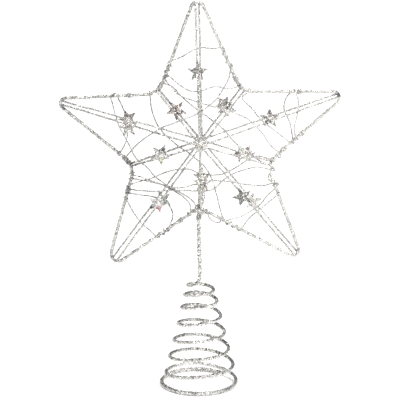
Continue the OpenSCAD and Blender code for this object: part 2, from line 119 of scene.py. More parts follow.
def rib_root(i, side):
    w = (0.7 if i % 10 == 0 else 0) * sideways(i, side)
    return hub_point(side) + np.array([w[0], 0, w[1]])
def rib_start(i, side):
    r = rib_root(i, side); return r + (3.6 if i % 10 == 0 else 2.8) * unit(rib_end(i, side) - r)
STAR_PLACES = [
    [(52.8,-0.1,-2),(49.6,2,2)],[(30.3,-2.4,-1),(28.5,-0.1,2)],
    [(52.2,1.9,4),(53.7,-0.1,-21)],[(29.5,-1.5,6),(30.4,0.7,-9)],
    [(52.3,-0.8,-20),(50.8,4,-24)],[(27.9,1.4,-36),(26.4,2,34)],
    [(47.5,-0.9,17),(57.2,-0.7,5)],[(29.3,3.1,-18),(33.5,0.5,-15)],
    [(51.9,2.3,-2),(51,-1.3,-2)],[(32,2.0,6),(31.6,2.6,-6)]]
def along(i, side): return unit(rib_end(i, side) - rib_root(i, side))
def leftward(i, side): return -unit(np.cross([0, 1, 0], along(i, side)))
def outward(i, side):
    n = np.cross(leftward(i, side), along(i, side)); return unit(n) * (1 if n[1] * side > 0 else -1)
def place(i, side): return STAR_PLACES[i][0 if side == FRONT else 1]
def small_star_middle(i, side):
    s = place(i, side)
    return (rib_root(i, side) + s[0] * along(i, side) + s[1] * leftward(i, side)
            + (RIB_D / 2 + SST_T / 2 - 0.3) * outward(i, side))
def small_star_frame(i, side):
    a = along(i, side); o = outward(i, side); b = np.cross(o, a)
    r = radians(place(i, side)[2])
    return small_star_middle(i, side), a * cos(r) + b * sin(r), -a * sin(r) + b * cos(r), o
def face_depth(p):
    v = p - HUB; best = None
    for i in range(10):
        a = apex(i) - HUB; b = apex(i + 1) - HUB; d = a[0]*b[1] - a[1]*b[0]
        x = (v[0]*b[1] - v[1]*b[0]) / d; y = (a[0]*v[1] - a[1]*v[0]) / d
        if best is None or min(x, y) > best[0]: best = (min(x, y), x + y)
    return lerp(HUB_DEPTH, EDGE_DEPTH, min(1.0, best[1]))
STAR_SPOTS = {s: [small_star_middle(i, s)[[0, 2]] for i in range(10)] for s in (FRONT, BACK)}
def lift(p, side):
    near = min(np.linalg.norm(p - m) for m in STAR_SPOTS[side])
    return (SST_T + 0.9) * ease((13.5 - near) / 4.5)
def hub_lift(p): return 2.2 * ease((9 - np.linalg.norm(p - HUB)) / 4.5)
def winding(q0, q1, a0, a1, over=0, deg=45):
    n = max(1, ceil(abs(a1 - a0) / deg)); r = OUTLINE_D / 2 + TRIM_D / 2 + TRIM_GAP + over * (TRIM_D + TRIM_GAP); out = []
    for j in range(n + 1):
        w = on_outline(lerp(q0, q1, j / n)); a = radians(lerp(a0, a1, j / n))
        out.append(np.array([w[0][0] + r*sin(a)*w[2][0], -r*cos(a), w[0][1] + r*sin(a)*w[2][1]]))
    return out
def span(side, layer, qa, pts, qb, step=4.2):
    a = on_outline(qa)[0]; b = on_outline(qb)[0]
    flat = smooth([a] + [MID + np.array(p, float) for p in pts] + [b], step); out = []
    for p in flat[1:-1]:
        off = ease(min(np.linalg.norm(p - a), np.linalg.norm(p - b)) / 7)
        out.append(np.array([p[0], side * (face_depth(p) + RIB_D/2 + TRIM_D/2 + LAY_GAP
            + off * (layer * (TRIM_D + TRIM_GAP) + lift(p, side) + hub_lift(p))), p[1]]))
    return out
F, B = FRONT, BACK
TRIMS = [
    (0, [(2.86,2.88,360,0),
         (F, [(-44,2),(-29,13),(-13,20),(-1,25),(8,32),(16,42),(19,48)]),
         (9.25,9.46,0,900),
         (B, [(8,68),(-2,68),(-10,64),(-14.8,61.4)]),
         (0.675,0.79,180,-720),
         (F, [(-15,44),(-8,40),(-1,40),(10,43),(19,41)]),
         (9.045,9.065,0,360)]),
    (1, [(0.82,0.84,360,0),
         (F, [(-18,39),(-4,33),(10,29),(23,25),(34,19),(42,11),(49,0)]),
         (7.16,6.745,0,900,1),
         (B, [(47.1,-38.7),(42.3,-45.7),(33.8,-51.7),(26,-54.7)]),
         (5.27,5.42,180,-720),
         (F, [(34,-52),(42,-45)]),
         (6.69,6.67,0,360)]),
    (2, [(0.89,0.91,-180,180),
         (B, [(-19.4,39.2),(-14.2,32.1),(-8.2,26.4),(2,18.8),(15,8.5),(27,-5),(39,-13)]),
         (6.975,6.955,180,0),
         (F, [(41,-15),(27,-17),(17,-22),(8,-30),(-8,-31),(-25,-31),(-42,-32)]),
         (3.22,3.20,0,180),
         (B, [(-36,-27),(-22,-22),(-10,-21),(1,-25),(13,-25),(27,-18),(39,-11)]),
         (7.042,7.062,180,-180)]),
    (0, [(8.95,8.93,360,0),
         (F, [(28.5,34.5),(32.3,30),(36.5,25.9),(39.9,21.8),(43.8,18),(49.4,13.5),(55.8,7.3)]),
         (7.31,7.33,0,180),
         (B, [(62,15),(58,24),(61,35)]),
         (8.48,8.46,180,0),
         (F, [(68,31),(67,22),(65,11)]),
         (7.37,7.39,0,360)]),
    (1, [(4.93,4.95,360,0),
         (F, [(-4.5,-42),(-8.4,-37.5),(-14.2,-33.4),(-19.4,-30.2),(-25.4,-26.6),(-33.1,-20.9),(-37.6,-15.6),(-45,-9.7),(-49.5,-1.3),(-52.2,5.3),(-56.9,14.4),(-61,26.8)]),
         (1.47,1.41,0,180),
         (B, [(-55.2,24.6),(-51.5,11),(-52.7,1.1),(-55.3,-4.4)]),
         (2.82,2.80,180,-180)]),
    (0, [(1.05,1.07,-180,180),
         (B, [(-35,25),(-29,9),(-18,-2),(-6,-11),(4,-21),(10,-35),(13,-47)]),
         (5.24,5.22,180,360),
         (F, [(13,-56.5),(9,-55.5),(6,-53.5)]),
         (5.08,5.06,0,360)]),
    (0, [(3.055,3.075,360,0),
         (F, [(-43,-22.4),(-36.3,-24.8),(-28.9,-27),(-21.9,-30.2),(-16,-34.3),(-11,-38.4),(-7.9,-43.1)]),
         (4.895,4.875,0,360)]),
    (0, [(3.34,3.32,360,0),
         (F, [(-48,-48),(-43,-55),(-36,-62)]),
         (4.50,4.64,0,900),
         (B, [(-20,-53),(-23,-46),(-36,-40)]),
         (3.283,3.263,180,-180)]),
    (1, [(6.775,6.795,-180,180),
         (B, [(42.2,-31.9),(31.3,-31.4),(18.9,-29.2),(9,-29),(-6,-32),(-20,-34),(-36,-29)]),
         (3.13,3.11,180,-180)])]
def trim_path(w, deg=45, step=4.2):
    r = w[1]; out = []
    for i, e in enumerate(r):
        if len(e) == 2: out += span(e[0], w[0], r[i-1][1], e[1], r[i+1][0], step)
        else: out += winding(e[0], e[1], e[2], e[3], e[4] if len(e) > 4 else 0, deg)
    return out
WRAPS = [(0.942,3),(9.13,4),(7.20,3),(3.2415,2),(2.907,2),(2.942,2),(4.78,3),(8.42,3),(7.455,4),(1.28,3)]
STEM_WRAPS = [121.2, 122.4, 123.6]
LASH_TURNS = 2
LASH_R_EXTRA = 1.1
LASH_TILT = 130
LASH_DROP = 1.0
STEM_POINTS = [(0,0,80),(0,0,83),(-0.3,0.3,94),(-0.7,1.5,112),(-0.8,2.7,121),(-0.2,3.3,128),(1.8,3.6,134),(2.4,3.5,139),(2.4,3.2,144.5)]
STEM_PATH = smooth(STEM_POINTS, 5)
def stem_at(z):
    j = max([i for i in range(len(STEM_PATH) - 1) if STEM_PATH[i][2] <= z] or [0])
    a, b = STEM_PATH[j], STEM_PATH[j+1]
    return lerp(a, b, (z - a[2]) / (b[2] - a[2])), unit(b - a)
WIRE_Z = COIL_D / 2 * cos(radians(15))
FOOT_K = 13.3; FOOT_RISE = 1.14
def coil_r(k): return min(24.5, COIL_TOP_R + 1.06*k + 0.0255*k*k)
def coil_z(k):
    if k < 4: return WIRE_Z + (8 + FOOT_RISE)*HALF_PITCH + 5*(4-k) - 0.22*(4-k)**2
    if k < 12: return WIRE_Z + HALF_PITCH*(12 + FOOT_RISE - k)
    u = min(1, (k - 12)/(FOOT_K - 12)); b = 2 - (FOOT_K - 12)/FOOT_RISE
    return WIRE_Z + FOOT_RISE*HALF_PITCH*(1-u)**2*(1 + b*u + 2.5*u*u)
def coil_wave(k): return 0.9*ease(k - 0.6)*(1 - ease((k - 12.5)/0.5))
def coil_lean(k): return lerp(0.022, 0, ease((k - 5)/5))
def coil_point(k):
    a = radians(180 - 180*k); r = coil_r(k); w = ease((k - 12.55)/0.55)
    return np.array([lerp(0.25*ease(k/4) + r*cos(a), (BASE_R - 1.1)*cos(a) - 1.2, w), lerp(r*sin(a), BASE_R*sin(a), w),
                     coil_z(k) + coil_wave(k)*sin(a)**2 - coil_lean(k)*r*sin(a)])
RING_ARCS = [[BASE_R - 2.9, 82.3], [BASE_R + 2, 86], [BASE_R - 4.7, 50], [BASE_R - 6.7, 54]]
def ring_path(step):
    p = coil_point(FOOT_K); q = p - coil_point(FOOT_K - 0.001); h = atan2(q[1], q[0]); out = [p]; p = p[:2]
    for r, t in RING_ARCS:
        t = radians(t); c = p + r*np.array([sin(h), -cos(h)]); n = int(ceil(r*t/step))
        for i in range(1, n + 1):
            g = h - t*i/n; out.append(np.array([c[0] - r*sin(g), c[1] + r*cos(g), WIRE_Z]))
        p = out[-1][:2]; h -= t
    return np.array(out)
NAMES = ["top_point","upper_left_notch","left_point","lower_left_notch","lower_left_point","bottom_notch",
         "lower_right_point","lower_right_notch","right_point","upper_right_notch"]

# ---- curves ------------------------------------------------------------------
def resample(p, step, closed=False):
    p = np.asarray(p, float)
    if closed: p = np.vstack([p, p[:1]])
    d = np.r_[0, np.cumsum(np.linalg.norm(np.diff(p, axis=0), axis=1))]
    n = max(3, int(round(d[-1] / step)))
    if closed: n += n % 2
    s = np.linspace(0, d[-1], n + 1)
    q = np.stack([np.interp(s, d, p[:, k]) for k in range(3)], 1)
    return q[:-1] if closed else q

def soften(p, rounds, closed=False):
    p = np.array(p, float)
    for _ in range(rounds):
        if closed: p = 0.5 * p + 0.25 * (np.roll(p, 1, 0) + np.roll(p, -1, 0))
        else: p[1:-1] = 0.5 * p[1:-1] + 0.25 * (p[:-2] + p[2:])
    return p

def tangents(p, closed=False):
    t = np.roll(p, -1, 0) - np.roll(p, 1, 0) if closed else np.gradient(p, axis=0)
    return t / np.linalg.norm(t, axis=1)[:, None]

def carried(p):
    t = tangents(p)
    a = np.array([0.0, 0, 1]) if abs(t[0][2]) < 0.8 else np.array([1.0, 0, 0])
    n = unit(np.cross(t[0], a)); ns = []
    for u in t:
        n = unit(n - (n @ u) * u); ns.append(n)
    ns = np.array(ns)
    return t, ns, np.cross(t, ns)

def flat_frame(p):
    t = tangents(p, True)
    n = np.stack([t[:, 2], np.zeros(len(t)), -t[:, 0]], 1)
    return t, n, np.cross(t, n)

def wander(s, rng, longest, shortest, n=7):
    w = 0
    for l in np.geomspace(longest, shortest, n):
        w = w + np.sin(2 * pi * s / l + rng.uniform(0, 2 * pi)) * rng.uniform(0.5, 1)
    return w / n

# ---- meshes ------------------------------------------------------------------
class Skin:
    """Rings of grain points round a wire; any stretch of rings makes one closed mesh."""
    def __init__(self, p, r, sides, seed, grain=0.10, lump=0.10, bits=0.10, bit=0.28, closed=False, frame_=None):
        rng = np.random.default_rng(seed)
        n = len(p)
        t, a, b = frame_ if frame_ is not None else carried(p)
        s = np.r_[0, np.cumsum(np.linalg.norm(np.diff(p, axis=0), axis=1))]
        step = s[-1] / (n - 1)
        if closed:                       # whole waves only, so that the ends meet
            whole = s[-1] + step; s2 = s / whole; slow = 0
            for k in range(9):
                slow = slow + np.sin(2 * pi * (round(whole / (4 + 4 * k)) * s2) + rng.uniform(0, 6.28)) * rng.uniform(0.5, 1)
            slow = slow / 9
        else:
            slow = wander(s, rng, 40, 3)
        rad = np.asarray(r)[..., None] * (1 + lump * np.asarray(slow)[:, None] * 1.6 + grain * rng.uniform(-1, 1, (n, sides))) if np.ndim(r) else \
            r * (1 + lump * slow[:, None] * 1.6 + grain * rng.uniform(-1, 1, (n, sides)))
        proud = rng.random((n, sides)) < bits
        rad = rad + proud * rng.uniform(0.4, 1.0, (n, sides)) * bit
        ang = (np.arange(sides)[None] + 0.5 * (np.arange(n) % 2)[:, None] + rng.uniform(-0.2, 0.2, (n, sides))) * 2 * pi / sides
        slip = rng.uniform(-0.22, 0.22, (n, sides)) * step
        if not closed: slip[0] = slip[-1] = 0
        self.v = (p[:, None] + rad[..., None] * (np.cos(ang)[..., None] * a[:, None] + np.sin(ang)[..., None] * b[:, None])
                  + slip[..., None] * t[:, None])
        self.p, self.t, self.sides, self.closed, self.r = p, t, sides, closed, r

    def mesh(self, i0=0, i1=None, floor=None):
        n, m = len(self.p), self.sides
        i1 = n - 1 if i1 is None else i1
        rows = list(range(n)) if self.closed else list(range(i0, i1 + 1))
        v = self.v[rows].reshape(-1, 3).copy(); f = []
        count = len(rows)
        for x in range(count if self.closed else count - 1):
            i = rows[x]; y = (x + 1) % count
            for j in range(m):
                k = (j + 1) % m
                if i % 2 == 0:
                    f += [(x*m+j, x*m+k, y*m+j), (x*m+k, y*m+k, y*m+j)]
                else:
                    f += [(x*m+j, y*m+k, y*m+j), (x*m+j, x*m+k, y*m+k)]
        if not self.closed:
            c0, c1 = len(v), len(v) + 1
            r = np.min(self.r)
            v = np.vstack([v, self.p[rows[0]] - self.t[rows[0]] * (0.3 * r if rows[0] == 0 else 0),
                           self.p[rows[-1]] + self.t[rows[-1]] * (0.3 * r if rows[-1] == n - 1 else 0)])
            e = (count - 1) * m
            f += [(c0, (j + 1) % m, j) for j in range(m)] + [(c1, e + j, e + (j + 1) % m) for j in range(m)]
        if floor is not None: v[:, 2] = np.maximum(v[:, 2], floor)
        return v, f

def join(parts):
    vs, fs, n = [], [], 0
    for v, f in parts:
        vs.append(v); fs += [tuple(i + n for i in t) for t in f]; n += len(v)
    return np.vstack(vs), fs

# places where the coat is darker, at knots and tight windings, and broader patches made darker, and lighter ones with
# a negative depth (x, z, size, depth)
SPOTS = [(-49.7, 163.3, 5, 0.26), (-49.8, 144.4, 3.5, 0.22), (-42, 158.2, 2.2, 0.24), (-39.2, 150.2, 2.2, 0.24),
         (-17.4, 144.4, 2.5, 0.16), (97.5, 212.9, 2.3, 1.1), (50.8, 160.2, 6, -0.14), (28.8, 219.2, 5, 0.24), (-97.7, 205.9, 4, 0.16),
         (-59.3, 92.3, 4, 0.14), (2.3, 129.8, 5, -0.10), (-23.9, 112.2, 4, 0.10), (58, 112, 26, 0.12), (-52, 108, 15, -0.12), (-36, 106, 9, -0.09), (-2, 262, 22, -0.03), (-30, 168, 18, 0.06),
         (-78, 204, 22, 0.05), (-54, 128, 8, -0.06), (-14, 232, 9, -0.05), (62, 211, 20, 0.11), (76, 186, 14, 0.07)]
def star_shade(c):
    # the tanh term is painted light: the star is lighter towards the right, as if lit from that side; the spots darken
    # or lighten patches
    return 0.03 + 0.09 * np.tanh(c[:, 0] / 25) - sum(a * np.exp(-((c[:, 0] - x)**2 + (c[:, 2] - z)**2) / r**2) for x, z, r, a in SPOTS)

def star_calm(c):
    """How far the tones of the flakes spread: the coat is more even on the right and at the top."""
    return 0.90 - 0.18 * np.tanh((c[:, 0] - 12) / 18) - 0.1 * (c[:, 2] > 225)

def coil_shade(c):
    """Painted shade and light on the coil: the strands that face right and back are darker, the left bends a little,
    the front right is lighter, and the back of the lowest strands is painted lighter against the shade near the floor.
    """
    a = np.arctan2(c[:, 1], c[:, 0]); low = c[:, 2] < 76
    return low * (-0.22 * np.exp(-((a - 0.45) / 0.5)**2) - 0.07 * np.exp(-((np.abs(a) - pi) / 0.5)**2) + 0.05 * np.exp(-((a + 1.1) / 0.7)**2) + 0.16 * (c[:, 2] < 14) * (c[:, 1] > 4) + 0.045) + 0.03

def piece(name, vf, mat, seed, nodes, body=None, span=None, shade=star_shade, tint=None, clump=0.0, calm=None, edge=0.0, painted_underside_light=0.0):
    v, f = vf
    me = bpy.data.meshes.new(name)
    me.from_pydata([tuple(float(c) * 0.001 for c in q) for q in v], [], f)
    me.validate(); me.update()
    rng = np.random.default_rng(seed + 7000)
    at = me.attributes.new("flake", "FLOAT_VECTOR", "FACE")
    flake = rng.random((len(me.polygons), 3))
    mid = np.empty(3 * len(me.polygons)); me.polygons.foreach_get("center", mid); mid = mid.reshape(-1, 3) * 1000
    if clump:                            # most facets share the tone of a patch of flakes
        seeds = mid[rng.permutation(len(mid))[:max(8, int(clump * len(mid)))]]; lumps = rng.random((len(seeds), 3))
        near = np.array([int(np.argmin(((seeds - c)**2).sum(1))) for c in mid])
        flake = np.where(rng.random((len(mid), 1)) < 0.25, flake, lumps[near])
    if calm: flake[:, 0] = 0.5 + (flake[:, 0] - 0.5) * calm(mid)
    if tint: flake[:, 1] = tint(mid, flake[:, 1])
    at.data.foreach_set("vector", flake.ravel().astype(np.float32))
    at = me.attributes.new("shade", "FLOAT", "FACE")
    nor = np.empty(3 * len(me.vertices)); me.vertices.foreach_get("normal", nor)
    nor = nor.reshape(-1, 3)[np.array(f)].mean(1) if len(f) == len(me.polygons) else np.zeros((len(me.polygons), 3))
    # painted shade and light: facets turned edge-on to the front view are darker and those facing it lighter (edge),
    # and facets turned down are lighter, those turned up darker (under), as painted reflection of the pale floor and
    # painted shade on top
    tone = shade(mid) + edge * (np.abs(nor @ np.array([0, 0.96, -0.27])) - 0.74) - painted_underside_light * nor[:, 2]
    at.data.foreach_set("value", tone.astype(np.float32))
    me.materials.append(mat)
    ob = bpy.data.objects.new(name, me)
    scene.collection.objects.link(ob)
    if span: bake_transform(ob)
    else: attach(ob, body)
    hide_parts(*nodes)
    return ob

# ---- materials ---------------------------------------------------------------
def glitter(name, stops, tints, tint, tilt, rough, cell, metallic=0.9, painted_light_rightward=0.0, patch=0.0, hue=0.0):
    """Metal flakes: each facet has its own tone, tint, gloss and tilt, and finer grains lie between them.
    drift paints the coat lighter from left to right, painted light as from the right; the coat varies along the wires
    by patch, and hue spreads the tints into patches."""
    m = bpy.data.materials.new(name); m.use_nodes = True
    nt = m.node_tree; nd, ln = nt.nodes, nt.links
    bs = nd["Principled BSDF"]
    bs.inputs["Metallic"].default_value = metallic
    fl = nd.new("ShaderNodeAttribute"); fl.attribute_name = "flake"
    co = nd.new("ShaderNodeTexCoord")
    vo = nd.new("ShaderNodeTexVoronoi"); vo.feature = "F1"; vo.inputs["Scale"].default_value = 1000.0 / cell
    ln.new(co.outputs["Object"], vo.inputs["Vector"])
    # facet and fine grain together
    mx = nd.new("ShaderNodeMix"); mx.data_type = "VECTOR"; mx.inputs["Factor"].default_value = 0.35
    ln.new(fl.outputs["Vector"], mx.inputs["A"]); ln.new(vo.outputs["Color"], mx.inputs["B"])
    sp = nd.new("ShaderNodeSeparateXYZ"); ln.new(mx.outputs["Result"], sp.inputs[0])
    sf = nd.new("ShaderNodeSeparateXYZ"); ln.new(fl.outputs["Vector"], sf.inputs[0])
    # slow changes of tone: painted light from left to right (drift) and patches of the coat (patch)
    cx = nd.new("ShaderNodeSeparateXYZ"); ln.new(co.outputs["Object"], cx.inputs[0])
    dr = nd.new("ShaderNodeMath"); dr.operation = "MULTIPLY_ADD"; dr.inputs[1].default_value = painted_light_rightward * 10
    ln.new(cx.outputs["X"], dr.inputs[0]); ln.new(sp.outputs["X"], dr.inputs[2])
    ns = nd.new("ShaderNodeTexNoise"); ns.inputs["Scale"].default_value = 90.0; ns.inputs["Detail"].default_value = 2.0
    ln.new(co.outputs["Object"], ns.inputs["Vector"])
    pc = nd.new("ShaderNodeMath"); pc.operation = "SUBTRACT"; pc.inputs[1].default_value = 0.5
    ln.new(ns.outputs["Fac"], pc.inputs[0])
    pa = nd.new("ShaderNodeMath"); pa.operation = "MULTIPLY_ADD"; pa.inputs[1].default_value = patch
    ln.new(pc.outputs["Value"], pa.inputs[0]); ln.new(dr.outputs["Value"], pa.inputs[2])
    sh = nd.new("ShaderNodeAttribute"); sh.attribute_name = "shade"
    sa = nd.new("ShaderNodeMath"); sa.operation = "ADD"
    ln.new(pa.outputs["Value"], sa.inputs[0]); ln.new(sh.outputs["Fac"], sa.inputs[1])
    ra = nd.new("ShaderNodeValToRGB"); e = ra.color_ramp.elements
    e[0].position, e[0].color = stops[0][0], (*stops[0][1], 1)
    e[1].position, e[1].color = stops[-1][0], (*stops[-1][1], 1)
    for q, c in stops[1:-1]:
        k = e.new(q); k.color = (*c, 1)
    ln.new(sa.outputs["Value"], ra.inputs["Fac"])
    rt = nd.new("ShaderNodeValToRGB"); e = rt.color_ramp.elements; rt.color_ramp.interpolation = "CONSTANT"
    e[0].position, e[0].color = 0.0, (*tints[0], 1)
    e[1].position, e[1].color = (len(tints) - 1) / len(tints), (*tints[-1], 1)
    for k, c in enumerate(tints[1:-1]):
        el = e.new((k + 1) / len(tints)); el.color = (*c, 1)
    if hue > 0:
        nh = nd.new("ShaderNodeTexNoise"); nh.inputs["Scale"].default_value = 170.0; nh.inputs["Detail"].default_value = 0.0
        ln.new(co.outputs["Object"], nh.inputs["Vector"])
        mh = nd.new("ShaderNodeMapRange"); mh.inputs["From Min"].default_value = 0.25; mh.inputs["From Max"].default_value = 0.75
        ln.new(nh.outputs["Fac"], mh.inputs["Value"])
        hm = nd.new("ShaderNodeMix"); hm.data_type = "FLOAT"; hm.inputs["Factor"].default_value = hue
        ln.new(sf.outputs["Y"], hm.inputs["A"]); ln.new(mh.outputs["Result"], hm.inputs["B"])
        ln.new(hm.outputs["Result"], rt.inputs["Fac"])
    else:
        ln.new(sf.outputs["Y"], rt.inputs["Fac"])
    mc = nd.new("ShaderNodeMix"); mc.data_type = "RGBA"; mc.blend_type = "MULTIPLY"; mc.inputs["Factor"].default_value = tint
    ln.new(ra.outputs["Color"], mc.inputs["A"]); ln.new(rt.outputs["Color"], mc.inputs["B"])
    ln.new(mc.outputs["Result"], bs.inputs["Base Color"])
    mr = nd.new("ShaderNodeMapRange"); mr.inputs["To Min"].default_value = rough[0]; mr.inputs["To Max"].default_value = rough[1]
    ln.new(sf.outputs["Z"], mr.inputs["Value"]); ln.new(mr.outputs["Result"], bs.inputs["Roughness"])
    ge = nd.new("ShaderNodeNewGeometry")
    sb = nd.new("ShaderNodeVectorMath"); sb.operation = "SUBTRACT"; sb.inputs[1].default_value = (0.5, 0.5, 0.5)
    ln.new(mx.outputs["Result"], sb.inputs[0])
    sc = nd.new("ShaderNodeVectorMath"); sc.operation = "SCALE"; sc.inputs["Scale"].default_value = tilt
    ln.new(sb.outputs["Vector"], sc.inputs[0])
    ad = nd.new("ShaderNodeVectorMath"); ad.operation = "ADD"
    ln.new(ge.outputs["Normal"], ad.inputs[0]); ln.new(sc.outputs["Vector"], ad.inputs[1])
    no = nd.new("ShaderNodeVectorMath"); no.operation = "NORMALIZE"
    ln.new(ad.outputs["Vector"], no.inputs[0]); ln.new(no.outputs["Vector"], bs.inputs["Normal"])
    return m

def grey(v, warm=0.0): return (v * (1 + 0.03 * warm), v, v * (1 - 0.05 * warm))
def ramp(*stops): return [(q, grey(v, 0.6 if v < 0.9 else 0.3)) for q, v in stops]
SILVER = ramp((0, 0.05), (0.26, 0.16), (0.42, 0.43), (0.56, 0.62), (0.74, 0.76), (1, 0.96))
WIRE = ramp((0, 0.10), (0.22, 0.24), (0.36, 0.43), (0.52, 0.56), (0.72, 0.63), (1, 0.88))
FINE = ramp((0, 0.12), (0.27, 0.31), (0.45, 0.46), (0.65, 0.56), (1, 0.76))
DULL = ramp((0, 0.09), (0.28, 0.25), (0.52, 0.44), (1, 0.70))
BRIGHT = ramp((0, 0.10), (0.22, 0.26), (0.40, 0.50), (0.60, 0.64), (0.8, 0.74), (1, 0.92))
PALER = ramp((0, 0.16), (0.16, 0.40), (0.30, 0.64), (0.50, 0.78), (1, 0.94))
DARK = ramp((0, 0.03), (0.30, 0.11), (0.46, 0.30), (0.64, 0.50), (0.82, 0.66), (1, 0.86))
MIDDLE = ramp((0, 0.03), (0.25, 0.12), (0.42, 0.36), (0.56, 0.55), (0.76, 0.67), (1, 0.88))
PALE = [(1, 1, 1), (1, 0.96, 0.88), (0.93, 0.97, 1), (1, 0.93, 0.93), (0.94, 1, 0.94), (1, 0.98, 0.92)]
RAINBOW = [(1, 1, 1), (1, 0.72, 0.55), (0.8, 0.9, 1), (1, 0.62, 0.66), (0.7, 0.95, 0.66), (1, 0.9, 0.6), (0.85, 0.8, 1), (1, 1, 1)]
BROWN = [(1, 1, 1), (1, 0.66, 0.46), (1, 0.80, 0.62), (1, 0.58, 0.44), (0.96, 0.92, 0.9), (1, 0.84, 0.56)]
GREEN = [(1, 1, 1), (0.78, 0.92, 0.55), (1, 0.95, 0.62), (0.62, 0.84, 0.60), (0.96, 0.98, 1), (0.94, 0.94, 0.84)]
ROSE = [(1, 1, 1), (1, 0.52, 0.55), (1, 0.74, 0.70), (0.80, 0.92, 0.80), (0.96, 0.97, 1), (1, 0.58, 0.56)]
STRAW = [(1, 1, 1), (1, 0.94, 0.72), (0.95, 0.96, 0.86), (1, 0.90, 0.66), (0.97, 0.98, 1), (0.92, 0.95, 0.80)]
M_WIRE = glitter("glitter_outline", WIRE, PALE, 0.6, 1.15, (0.18, 0.48), 0.42, painted_light_rightward=0.04, patch=0.35)
M_COIL = glitter("glitter_spring", SILVER, PALE, 0.6, 1.6, (0.16, 0.45), 0.45, patch=0.4)
M_RIB = glitter("glitter_rib", FINE, PALE, 0.6, 1.15, (0.18, 0.45), 0.40, painted_light_rightward=0.03, patch=0.4)
M_TRIM = glitter("glitter_trim", DULL, PALE, 0.5, 1.0, (0.18, 0.45), 0.40, painted_light_rightward=0.03, patch=0.5)
M_BIND = glitter("glitter_binding", BRIGHT, PALE, 0.5, 1.4, (0.18, 0.45), 0.40, painted_light_rightward=0.05, patch=0.4)
M_HUB = glitter("glitter_hub", ramp((0, 0.12), (0.20, 0.34), (0.36, 0.58), (0.56, 0.72), (1, 0.94)), RAINBOW, 0.35, 1.8, (0.14, 0.40), 0.45)
def star_coat(name, stops, tints, tint, hue=0.6): return glitter("glitter_star_" + name, stops, tints, tint, 1.8, (0.12, 0.40), 0.45, patch=0.3, hue=hue)
S_DARK = star_coat("dark", DARK, RAINBOW, 0.2)
S_GREY = star_coat("grey", MIDDLE, RAINBOW, 0.25)
S_LIGHT = star_coat("light", BRIGHT, RAINBOW, 0.25)
S_PALER = star_coat("paler", PALER, RAINBOW, 0.2)
S_BROWN = star_coat("brown", MIDDLE, BROWN, 0.30)
S_GREEN = star_coat("green", MIDDLE, GREEN, 0.55, 0.0)
S_ROSE = star_coat("rose", MIDDLE, ROSE, 0.7, 0.0)
S_STRAW = star_coat("straw", BRIGHT, STRAW, 0.40)
STAR_COATS = [(S_DARK, S_GREY), (S_BROWN, S_GREY), (S_LIGHT, S_GREY), (S_GREEN, S_GREY), (S_ROSE, S_ROSE),
              (S_STRAW, S_LIGHT), (S_DARK, S_PALER), (S_LIGHT, S_PALER), (S_GREY, S_GREY), (S_GREY, S_LIGHT)]
# darker (or lighter) parts of a small star: (rib, side): (across, up, size, depth)
STAR_TIPS = {(1, FRONT): [(0.7, -4.8, 3, 0.26), (0, 0, 3, 0.08)], (2, BACK): [(-3.1, 5.4, 2.4, 0.26), (4.6, 1.2, 2.2, 0.24), (0, -1, 3, -0.10)],
             (2, FRONT): [(4.5, -6, 2.6, 0.24), (0, 0.6, 1.4, 0.22), (-1, -3, 3, -0.08)], (3, FRONT): [(1.7, 4.7, 2.4, 0.26), (-5.6, 0.4, 2, 0.20), (0, 0, 2.4, -0.08)],
             (4, FRONT): [(-4.4, -2.4, 2.2, 0.36), (0.5, 1, 3, -0.10)], (4, BACK): [(2.5, 2, 3, 0.10)], (6, FRONT): [(0, 1, 3, 0.10)],
             (6, BACK): [(0, 0, 9, -0.18), (4, -3.6, 1.8, 0.34)],
             (7, FRONT): [(-3.1, 1.2, 2.3, 0.42), (3.4, 4.8, 2.2, 0.36), (-4, -3.8, 1.9, 0.26), (2.5, -3, 4, -0.18), (0.6, 0.5, 1.6, -0.10)],
             (7, BACK): [(0, 0, 9, -0.16)], (9, FRONT): [(0.4, 4.4, 2.2, 0.36), (-6, 0.2, 2, 0.28), (3.6, 5.6, 2.2, 0.20), (0.8, -3.8, 3.6, -0.12)]}
def tip_shade(i, side):
    m = small_star_middle(i, side); spots = STAR_TIPS.get((i, side), [])
    return lambda c: -sum([a * np.exp(-((c[:, 0] - m[0] - x)**2 + (c[:, 2] - m[2] - z)**2) / r**2) for x, z, r, a in spots], np.zeros(len(c)))
# tinted parts of two small stars: (rib, side): (across, up, size, place in the list of tints)
STAR_TINTS = {(3, FRONT): [(0.5, -5, 3.9, 0.25)], (4, FRONT): [(1.8, -5.2, 3.6, 0.25)], (4, BACK): [(2.5, 1.5, 3.4, 0.58)]}
def tip_tint(i, side):
    if (i, side) not in STAR_TINTS: return None
    m = small_star_middle(i, side)
    def tint(c, y):
        y = y * 0.16
        for x, z, r, t in STAR_TINTS[(i, side)]:
            y = np.where((c[:, 0] - m[0] - x)**2 + (c[:, 2] - m[2] - z)**2 < r**2, t, y)
        return y
    return tint

# ---- outline -----------------------------------------------------------------
ring_pts = [np.array([p[0], 0, p[1]]) for i in range(10) for p in arc_at(i, 24)]
p = resample(ring_pts, 0.78, True)
sk = Skin(p, 1.28, 9, 11, closed=True, frame_=flat_frame(p))
# edge paints shade on the outline's sides as seen from the front
piece("outline_glitter", sk.mesh(), M_WIRE, 11, ["star_outline"], "star", clump=0.5, calm=star_calm, edge=0.22)

